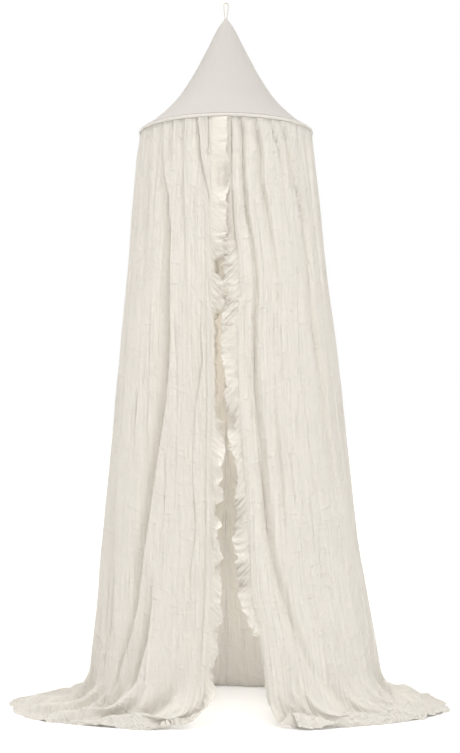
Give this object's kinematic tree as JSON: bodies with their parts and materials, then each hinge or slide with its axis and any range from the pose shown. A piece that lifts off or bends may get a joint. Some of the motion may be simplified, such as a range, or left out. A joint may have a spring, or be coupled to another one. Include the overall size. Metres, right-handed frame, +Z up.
{
  "type": "bed canopy curtain with hoop",
  "caption": "Hanging bed canopy: a tight cone over a hoop, a long gathered muslin skirt open at the front between ruffled edges, and trains that trail on the floor.",
  "frame": {"origin": "inside top of the hanging loop, where a ceiling hook carries the canopy", "axes": "+Z up; the opening between the ruffles faces -Y; +X is to the right seen from the front; the floor the hem lies on is at z = -2.424"},
  "size_m": [1.524, 0.868, 2.4282],
  "materials": {
    "muslin": "crinkled ivory cotton muslin, matt",
    "plain_cotton": "tight plain-weave cotton, light greige, matt",
    "hoop_rod": "plain white rod, hidden in its casing",
    "loop_cord": "round ivory cotton cord, matt"
  },
  "bodies": {
    "root": {"hanging_loop": "loop_cord", "cone_top": "plain_cotton", "hoop": "hoop_rod", "hoop_casing": "plain_cotton", "skirt_left": "muslin", "skirt_right": "muslin", "ruffle_left": "muslin", "ruffle_right": "muslin"}
  },
  "joints": []
}
